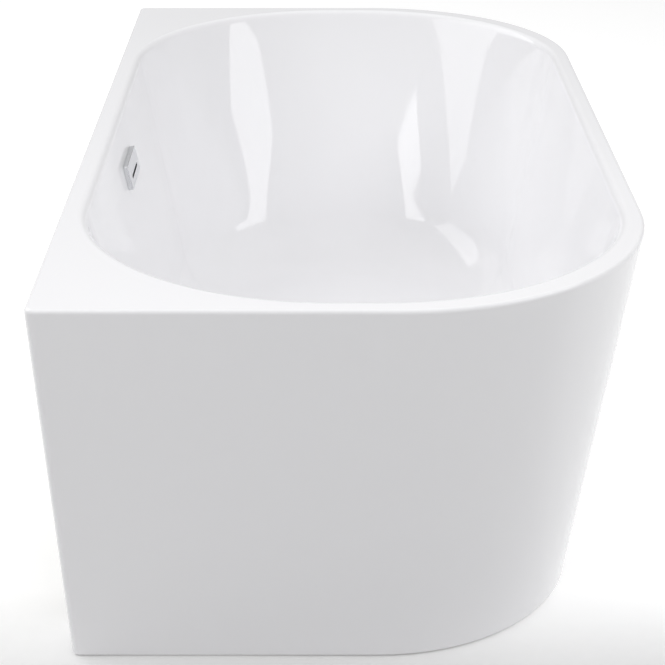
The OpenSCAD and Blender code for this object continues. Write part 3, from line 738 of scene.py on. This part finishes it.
# %% Overflow
OVERFLOW_Y, OVERFLOW_Z = 0.3506, 0.473
COVER_HALF, COVER_HIGH, COVER_DEEP, COVER_WALL = 0.0535, 0.020, 0.0082, 0.0022
COVER_EDGE, COVER_CORNER, COVER_BACK = 0.0009, 0.003, 0.0002
FACE_HOLD, INNER_CORNER = 0.0012, 0.0015
SLOT_HALF, SLOT_HIGH, SLOT_R, SLOT_Y = 0.035, 0.0025, 0.0023, -0.005
HOLE_HALF, HOLE_HIGH, HOLE_R, HOLE_REACH = 0.033, 0.012, 0.008, 0.02
BOX_HALF, BOX_HIGH, BOX_R = 0.0495, 0.018, 0.006
BOX_LOW, BOX_TOP, BOX_RIM, BOX_DRAFT = -0.0291, -0.0091, 0.004, 0.0022
SPIGOT_R, SPIGOT_BORE, SPIGOT_LONG = 0.011, 0.008, 0.028
SPIGOT_Y, SPIGOT_Z = -0.016, BOX_TOP - 0.015
at_overflow = (Matrix.Translation((0, OVERFLOW_Y, OVERFLOW_Z))
               @ Matrix.Rotation(math.pi / 2 - SIDE_SLOPE, 4, "X"))


def plate_loop(bm, half, high, radius, z, y=0.0):
    plan = Plan(half, y - high, y + high, radius, radius)
    return rounded_loop(bm, plan, z, corner_steps=8, side_cuts=6)


def build_cover():
    bm = bmesh.new()
    loops = [plate_loop(bm, COVER_HALF, COVER_HIGH, COVER_CORNER, COVER_BACK)]
    for angle in steps(0, math.pi / 2, 5):
        inward = COVER_EDGE * (1 - math.cos(angle))
        height = COVER_DEEP - COVER_EDGE * (1 - math.sin(angle))
        loops.append(plate_loop(bm, COVER_HALF - inward, COVER_HIGH - inward,
                                COVER_CORNER - inward, height))
    loops.append(plate_loop(bm, COVER_HALF - FACE_HOLD, COVER_HIGH - FACE_HOLD,
                            COVER_CORNER - FACE_HOLD, COVER_DEEP))
    slot_edge = [(0.0007, 0.0), (0.0005, 0.0), (0.0001, 0.0001), (0.0, 0.0005), (0.0, COVER_WALL)]
    for widen, depth in slot_edge:
        loops.append(plate_loop(bm, SLOT_HALF + widen, SLOT_HIGH + widen, SLOT_R + widen,
                                COVER_DEEP - depth, y=SLOT_Y))
    inner_half, inner_high = COVER_HALF - COVER_WALL, COVER_HIGH - COVER_WALL
    for height in (COVER_DEEP - COVER_WALL, COVER_BACK):
        loops.append(plate_loop(bm, inner_half, inner_high, INNER_CORNER, height))
    loft(bm, loops + loops[:1])
    put(bm, bm.verts, at_overflow)
    return make_piece(bm, "overflow_plate", [chrome], ["overflow_cover"])


def stacked(bm, half, high, radius, rims):
    """A closed block from outlines at (height, how far in from the largest outline)."""
    loops = [plate_loop(bm, half - inward, high - inward, radius - inward, z) for z, inward in rims]
    loft(bm, loops)
    for end in (loops[0], loops[-1]):
        bmesh.ops.edgeloop_fill(bm, edges=end)


def overflow_hole():
    bm = bmesh.new()
    stacked(bm, HOLE_HALF, HOLE_HIGH, HOLE_R, [(-HOLE_REACH, 0.0), (HOLE_REACH, 0.0)])
    for side in bm.faces:
        side.material_index = 1
    put(bm, bm.verts, at_overflow)
    return bm


def build_overflow_box():
    """The moulded box behind the wall, with a stepped rim and the spigot for the hose."""
    bm = bmesh.new()
    step = BOX_TOP - BOX_RIM
    foot_edge = [(BOX_LOW, 0.0039), (BOX_LOW + 0.0003, 0.0030), (BOX_LOW + 0.0009, 0.0024),
                 (BOX_LOW + 0.0018, BOX_DRAFT)]
    step_edge = [(step - 0.0006, BOX_DRAFT), (step - 0.0001, 0.0018), (step, 0.0012),
                 (step, 0.0005), (step + 0.0005, 0.0)]
    top_edge = [(BOX_TOP - 0.0005, 0.0), (BOX_TOP, 0.0005)]
    stacked(bm, BOX_HALF, BOX_HIGH, BOX_R, foot_edge + step_edge + top_edge)
    spigot = spun(bm, tube_profile(SPIGOT_R, SPIGOT_BORE, 0.0, SPIGOT_LONG), turns=48, rounded=0.0006)
    at_spigot = Matrix.Translation((0, SPIGOT_Y, SPIGOT_Z))
    put(bm, spigot, at_spigot @ Matrix.Rotation(math.pi / 2, 4, "X"))
    put(bm, bm.verts, at_overflow)
    return make_piece(bm, "overflow_box", [white_plastic], ["overflow_body"])


cut_out(tub, overflow_hole())
overflow_plate, overflow_box = build_cover(), build_overflow_box()
say(overflow_plate)
say(overflow_box)

# %% [markdown]
# ## The hose and its nuts
# The overflow hose is a corrugated tube. It is spun straight, with one wave every four millimetres, and
# then bent: each vertex keeps its place in the tube's cross-section while its height along the tube
# becomes a distance along the route. The nuts are spun too, and their grip ribs are pressed in.

# %% Hose and nuts
HOSE_R, WAVE, WAVE_DEPTH, HOSE_WALL = 0.014, 0.004, 0.0014, 0.001
HOSE_NUT_R, HOSE_NUT_BORE, HOSE_NUT_HALF = 0.017, 0.0143, 0.010
PIPE_NUT_R, PIPE_NUT_BORE, PIPE_NUT_LONG = 0.029, 0.02505, 0.020
NECK_BORE, NECK_START = 0.0203, 0.013
OUTLET_Z, PIPE_NUT_Y, HOSE_TOP_Y = 0.047, 0.048, -0.0444
RIB_DEPTH = 0.0010
PORT = Vector((0.0529, MID_Y, OUTLET_Z))
hose_top = at_overflow @ Vector((0, HOSE_TOP_Y, SPIGOT_Z))
down_wall = (at_overflow.to_3x3() @ Vector((0, -1, 0))).normalized()
HOSE_ROUTE = [hose_top - 0.010 * down_wall, hose_top, hose_top + 0.020 * down_wall,
              hose_top + 0.045 * down_wall, (0.004, 0.33885, 0.250), (0.012, 0.31885, 0.160),
              (0.034, 0.28485, 0.092), (0.064, 0.23285, 0.0537), (0.094, 0.16685, 0.0507),
              (0.112, 0.09085, 0.0507), (0.110, 0.0315, 0.048), (0.090, 0.0005, 0.047),
              PORT + Vector((0.014, 0, 0)), PORT, PORT - Vector((0.010, 0, 0))]


def route_points(route, per_span=24):
    """Points on a smooth curve through the route, without its first and last guide points."""
    guides = [Vector(point) for point in route]
    points = []
    for i in range(1, len(guides) - 2):
        a, b, c, d = guides[i - 1:i + 3]
        for t in steps(0, 1, per_span)[:-1]:
            points.append(0.5 * (2 * b + (c - a) * t + (2 * a - 5 * b + 4 * c - d) * t * t
                                 + (3 * b - a - 3 * c + d) * t ** 3))
    return points + [guides[-2]]


def frames_along(points):
    """A matrix at each point, turned no more than the route turns, with the distance so far."""
    frames, distance = [], 0.0
    turn = (points[1] - points[0]).to_track_quat("Z", "Y")
    for i, point in enumerate(points):
        ahead = points[min(i + 1, len(points) - 1)] - points[max(i - 1, 0)]
        along = turn @ Vector((0, 0, 1))
        turn = along.rotation_difference(ahead) @ turn
        if i:
            distance += (point - points[i - 1]).length
        frames.append((distance, Matrix.Translation(point) @ turn.to_matrix().to_4x4()))
    return frames


def bent(verts, frames):
    """Bends a straight tube on Z along the frames."""
    distances = [distance for distance, _ in frames]
    for vert in verts:
        after = min(max(bisect_right(distances, vert.co.z), 1), len(frames) - 1)
        (low, first), (high, second) = frames[after - 1], frames[after]
        share = (vert.co.z - low) / (high - low)
        flat = Vector((vert.co.x, vert.co.y, 0))
        vert.co = (first @ flat).lerp(second @ flat, share)


def build_hose():
    bm = bmesh.new()
    frames = frames_along(route_points(HOSE_ROUTE))
    length = frames[-1][0]
    waves = round(length / WAVE)
    outside = [(HOSE_R - WAVE_DEPTH * (0.5 - 0.5 * math.cos(math.tau * i / 6)), length * i / (6 * waves))
               for i in range(6 * waves + 1)]
    bore = HOSE_R - WAVE_DEPTH - HOSE_WALL
    verts = spun(bm, outside + [(bore, z) for z in steps(length, 0, 90)], turns=40)
    bent(verts, frames)
    return make_piece(bm, "hose", [white_plastic], ["overflow_hose"], crease=60)


def build_nut(name, profile, outer, count, matrix, finish, node):
    """A ring nut with grip ribs."""
    bm = bmesh.new()
    verts = spun(bm, profile, turns=6 * count, rounded=0.0005)
    ribs(verts, outer, RIB_DEPTH, count)
    put(bm, verts, matrix)
    return make_piece(bm, name, [finish], [node])


hose = build_hose()
toward_wall = Matrix.Rotation(-math.pi / 2, 4, "X")
along_port = Matrix.Rotation(math.pi / 2, 4, "Y")
down_hose = down_wall.to_track_quat("Z", "X").to_matrix().to_4x4()
pipe_ring = [(PIPE_NUT_BORE, 0.0), (PIPE_NUT_R, 0.0), (PIPE_NUT_R, PIPE_NUT_LONG),
             (NECK_BORE, PIPE_NUT_LONG), (NECK_BORE, NECK_START), (PIPE_NUT_BORE, NECK_START)]
pipe_nut = build_nut("pipe_nut", pipe_ring, PIPE_NUT_R, 24,
                     Matrix.Translation((0, PIPE_NUT_Y, OUTLET_Z)) @ toward_wall,
                     white_plastic, "outlet_nut")
hose_ring = tube_profile(HOSE_NUT_R, HOSE_NUT_BORE, -HOSE_NUT_HALF, HOSE_NUT_HALF)
hose_nuts = [build_nut(name, hose_ring, HOSE_NUT_R, 20, matrix, grey_plastic, node)
             for name, matrix, node in (
                 ("hose_nut_top", Matrix.Translation(hose_top) @ down_hose, "hose_nut_upper"),
                 ("hose_nut_port", Matrix.Translation(PORT) @ along_port, "hose_nut_lower"))]
for piece in (hose, pipe_nut, *hose_nuts):
    say(piece)

# %% [markdown]
# ## The frame
# Steel tube has rounded corners, because it is rolled from strip. One function lofts a hollow square
# tube along Z, and a matrix lays it where the CAD tube lies. The holes for the feet are cut through,
# so that the studs pass freely.

# %% Frame
TUBE_WALL = 0.002
STUD_R, STUD_GAP, HOLE_GAP = 0.006, 0.00005, 0.0005
FEET = {1: (-0.540, -0.1693), 2: (0.540, -0.1693), 3: (0.540, 0.1693), 4: (-0.540, 0.1693),
        5: (-0.180, 0.0), 6: (0.180, 0.0)}


def square_tube(bm, side, length, corner=0.0028):
    before = set(bm.verts)
    half = side / 2
    outer = Plan(half, -half, half, corner, corner)
    inner = moved_in(outer, TUBE_WALL)
    loops = [rounded_loop(bm, plan, z, corner_steps=6, side_cuts=3)
             for plan, z in ((outer, 0), (outer, length), (inner, length), (inner, 0))]
    loft(bm, loops + loops[:1])
    return [vert for vert in bm.verts if vert not in before]


def laid_on(low, high):
    """The matrix that lays a tube made along Z into the box from low to high, and its size."""
    sides = high - low
    longest = max(range(3), key=lambda axis: sides[axis])
    turn = {0: Matrix.Rotation(math.pi / 2, 4, "Y"), 1: Matrix.Rotation(-math.pi / 2, 4, "X"),
            2: Matrix.Identity(4)}[longest]
    foot = (low + high) / 2
    foot[longest] = low[longest]
    return Matrix.Translation(foot) @ turn, min(sides), sides[longest]


def stud_holes(box_low, box_high):
    """Cutters for the foot holes that pass through the bottom wall of a tube."""
    bm = bmesh.new()
    for x, y in FEET.values():
        if box_low.x < x < box_high.x and box_low.y < y + MID_Y < box_high.y:
            drill = bmesh.ops.create_cone(bm, cap_ends=True, segments=40, depth=0.01,
                                          radius1=STUD_R + HOLE_GAP, radius2=STUD_R + HOLE_GAP)
            put(bm, drill["verts"], Matrix.Translation((x, y + MID_Y, box_low.z)))
    return bm


def build_tube(node):
    bm = bmesh.new()
    low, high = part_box(node)
    matrix, side, length = laid_on(low, high)
    put(bm, square_tube(bm, side, length), matrix)
    piece = make_piece(bm, "steel_" + node, [powder_coat], [node])
    holes = stud_holes(low, high)
    if holes.verts:
        cut_out(piece, holes)
    return piece


TUBES = ("rail_front", "rail_back", "end_cross_left", "end_cross_right",
         "mid_cross_left", "mid_cross_right", "back_post_left", "back_post_right")
tubes = [build_tube(node) for node in TUBES]
for tube in tubes:
    say(tube)

# %% [markdown]
# ## The feet
# Each foot is a moulded pad on a threaded stud. The thread is a zigzag profile spun while it climbs one
# pitch, so the last column of vertices meets the first one a tooth higher and merges with it. The
# lock nut's corners follow a cone, which is how a real nut is faced. Pads and studs ride on their own
# bodies, and the nuts stay with the tub.

# %% Feet
PITCH_M12, THREAD_DEPTH = 0.00175, 0.0006
PAD_R, PAD_HIGH, PAD_SOCKET = 0.025, 0.014, 0.004
NUT_CORNER, NUT_HIGH = 0.0111, 0.009
nut_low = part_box("lock_nuts")[0].z


def build_pad(k, x, y):
    bm = bmesh.new()
    socket = STUD_R + STUD_GAP
    profile = [(0, 0.0), (PAD_R - 0.0015, 0.0), (PAD_R, 0.0012), (PAD_R, 0.0062),
               (PAD_R - 0.0012, 0.0074), (PAD_R - 0.0030, 0.0078), (0.0150, 0.0116),
               (0.0122, 0.0139), (0.0110, PAD_HIGH), (socket, PAD_HIGH), (socket, PAD_SOCKET),
               (0, PAD_SOCKET)]
    verts = spun(bm, profile, turns=144, rounded=0.0003, closed=False)
    ribs(verts, PAD_R, 0.0012, 24)
    put(bm, verts, Matrix.Translation((x, y + MID_Y, 0)))
    return make_piece(bm, f"pad_{k}", [black_plastic], [f"foot_pad_{k}"],
                      body=f"foot_{k}")


def build_stud(k, x, y):
    bm = bmesh.new()
    low, high = (corner.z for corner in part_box(f"foot_stud_{k}"))
    turns = 28
    pitches = int((high - low) / PITCH_M12) - 1
    tooth = ((0.0, 0.0), (0.08, 1.0), (0.5, 1.0), (0.58, 0.0))
    zigzag = [bm.verts.new((STUD_R - THREAD_DEPTH + THREAD_DEPTH * out, 0, low + PITCH_M12 * (i + up)))
              for i in range(pitches) for up, out in tooth]
    zigzag.append(bm.verts.new((STUD_R - THREAD_DEPTH, 0, low + PITCH_M12 * pitches)))
    edges = [bm.edges.new(pair) for pair in zip(zigzag, zigzag[1:])]
    bmesh.ops.spin(bm, geom=zigzag + edges, cent=(0, 0, 0), axis=(0, 0, 1), angle=math.tau, steps=turns,
                   dvec=(0, 0, PITCH_M12 / turns), use_merge=False)
    bmesh.ops.remove_doubles(bm, verts=bm.verts, dist=1e-6)
    bmesh.ops.holes_fill(bm, edges=[edge for edge in bm.edges if edge.is_boundary], sides=0)
    put(bm, bm.verts, Matrix.Translation((x, y + MID_Y, 0)))
    return make_piece(bm, f"stud_{k}", [zinc], [f"foot_stud_{k}"], body=f"foot_{k}", crease=25)


def hex_nut(bm):
    """A nut about the origin: a spun ring whose outside is pushed out to a hexagon."""
    flat = NUT_CORNER * math.cos(math.pi / 6)
    bore, mouth, land = STUD_R + STUD_GAP, STUD_R + 0.0007, flat - 0.0004
    profile = [(bore, 0.0006), (mouth, 0), (land, 0), (flat, 0.0001), (flat, NUT_HIGH - 0.0001),
               (land, NUT_HIGH), (mouth, NUT_HIGH), (bore, NUT_HIGH - 0.0006)]
    verts = spun(bm, profile, turns=96)
    for vert in verts:
        if vert.co.xy.length > flat - 0.0001:
            turn = math.atan2(vert.co.y, vert.co.x) % (math.pi / 3) - math.pi / 6
            reach = flat / math.cos(turn)
            vert.co.xy *= reach / flat
            facing = math.copysign((reach - flat) * 0.5, NUT_HIGH / 2 - vert.co.z)
            vert.co.z += facing
    return verts


def build_lock_nuts():
    bm = bmesh.new()
    for x, y in FEET.values():
        put(bm, hex_nut(bm), Matrix.Translation((x, y + MID_Y, nut_low)))
    return make_piece(bm, "hex_nuts", [zinc], ["lock_nuts"], crease=25)


feet = [build(k, x, y) for k, (x, y) in FEET.items() for build in (build_pad, build_stud)]
hex_nuts = build_lock_nuts()
for piece in (*feet[:2], hex_nuts):
    say(piece)

# %% [markdown]
# ## Finishes for the CAD parts that stay
# Boards, battens, seals, plates and screws are plain shapes in reality too, so they keep their CAD
# shape and take the same finishes. Each part is named once, next to its finish.

# %% CAD parts
KEPT = {
    chipboard: ("base_board", "rim_batten", "batten_front", "batten_end_left", "batten_end_right"),
    zinc: ("skirt_plates", "plate_screws", "board_screws", "foot_inserts", "overflow_screws",
           "overflow_faceplate", "plug_stem"),
    rubber: ("waste_seal_upper", "waste_seal_lower", "overflow_gasket", "plug_seal"),
    white_plastic: ("waste_body", "outlet_pipe"),
    grey_plastic: ("plug_cartridge",),
    black_plastic: ("tube_caps",),
}
for finish, nodes in KEPT.items():
    for node in nodes:
        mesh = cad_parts[node].data
        mesh.materials.clear()
        mesh.materials.append(finish)
print("CAD parts with a finish:", sum(len(nodes) for nodes in KEPT.values()))

# %% [markdown]
# ## The studio
# White products are shot on a pale sweep that glows a little, so the ground burns out to white. The
# glow stops short of the near end, which would otherwise be lit from below. The sky over the set is
# brighter at the top than near the horizon. Three softboxes give the basin its reflections: one for
# the crisp strip on the end wall, one for the streak beside it, and a broad one for the soft brighter
# side. A low one stands by the curved corner. Two fills, which no surface mirrors, lift the near end,
# the curved side and the basin's wall side.

# %% Studio
FLOOR_HALF = 9
GLOW, GLOW_STARTS_X, GLOW_FULL_X = 0.38, -0.76, -0.50


def build_floor():
    bm = bmesh.new()
    bmesh.ops.create_grid(bm, x_segments=1, y_segments=1, size=FLOOR_HALF)
    mesh = bpy.data.meshes.new("studio_floor")
    bm.to_mesh(mesh)
    bm.free()
    finish = Finish("studio_paper", Emission_Strength=GLOW)
    fibre = finish.noise(60, detail=4)
    tone = finish.mix(fibre, grey(0.72), grey(0.75))
    along = finish.node("ShaderNodeSeparateXYZ", {}, {"Vector": finish.place})
    glow = finish.ramp(along + 1.0, (1.0 + GLOW_STARTS_X, grey(0.0)), (1.0 + GLOW_FULL_X, grey(1.0)))
    paper = finish.varies(Base_Color=tone, Emission_Color=glow, Roughness=0.8 + 0.1 * fibre)
    mesh.materials.append(paper)
    floor = bpy.data.objects.new("studio_floor", mesh)
    bpy.context.scene.collection.objects.link(floor)


def build_sky(horizon, zenith):
    """A world whose light grows with the square of height."""
    world = bpy.data.worlds.new("studio_sky")
    bpy.context.scene.world = world
    world.use_nodes = True
    tree = world.node_tree
    tree.nodes["Background"].inputs["Color"].default_value = grey(1.0)
    place = tree.nodes.new("ShaderNodeTexCoord")
    split = tree.nodes.new("ShaderNodeSeparateXYZ")
    power = tree.nodes.new("ShaderNodeMath")
    power.operation = "POWER"
    power.inputs[1].default_value = 2.0
    spread = tree.nodes.new("ShaderNodeMapRange")
    spread.inputs["To Min"].default_value = horizon
    spread.inputs["To Max"].default_value = zenith
    tree.links.new(place.outputs["Generated"], split.inputs[0])
    tree.links.new(split.outputs["Z"], power.inputs[0])
    tree.links.new(power.outputs[0], spread.inputs["Value"])
    tree.links.new(spread.outputs[0], tree.nodes["Background"].inputs["Strength"])


def softbox(name, azimuth, elevation, distance, width, height, radiance, target=(0.55, 0.15, 0.35)):
    """A lamp seen from the target in that direction, in degrees, facing it."""
    az, el = math.radians(azimuth), math.radians(elevation)
    away = Vector((math.cos(el) * math.cos(az), math.cos(el) * math.sin(az), math.sin(el)))
    data = bpy.data.lights.new(name, "AREA")
    data.shape = "RECTANGLE"
    data.size, data.size_y = width, height
    data.energy = radiance * math.pi * width * height
    lamp = bpy.data.objects.new(name, data)
    lamp.location = Vector(target) + away * distance
    lamp.rotation_euler = away.to_track_quat("Z", "Y").to_euler()
    lamp.visible_camera = False
    bpy.context.scene.collection.objects.link(lamp)
    print(f"{name}: {width} x {height} m, radiance {radiance}")
    return lamp


build_floor()
build_sky(horizon=0.43, zenith=0.80)
softbox("strip_box", azimuth=-126, elevation=33, distance=3.0, width=1.60, height=0.60, radiance=2.9)
softbox("streak_box", azimuth=161, elevation=39.8, distance=3.0, width=0.85, height=0.30, radiance=3.4)
softbox("broad_box", azimuth=80, elevation=42, distance=3.2, width=4.6, height=2.0, radiance=1.9)
softbox("corner_box", azimuth=-70, elevation=12, distance=3.2, width=1.8, height=1.0, radiance=0.25,
        target=(0.35, 0.0, 0.35))
side_fill = softbox("side_fill", azimuth=-80, elevation=48, distance=3.0, width=2.5, height=1.5,
                    radiance=1.0, target=(0.2, 0.0, 0.4))
front_fill = softbox("front_fill", azimuth=180, elevation=58, distance=1.5, width=1.6, height=0.9,
                     radiance=1.0, target=(-0.75, 0.0, 0.5))
for fill in (side_fill, front_fill):
    fill.visible_glossy = False
bpy.context.scene.view_settings.view_transform = "Standard"
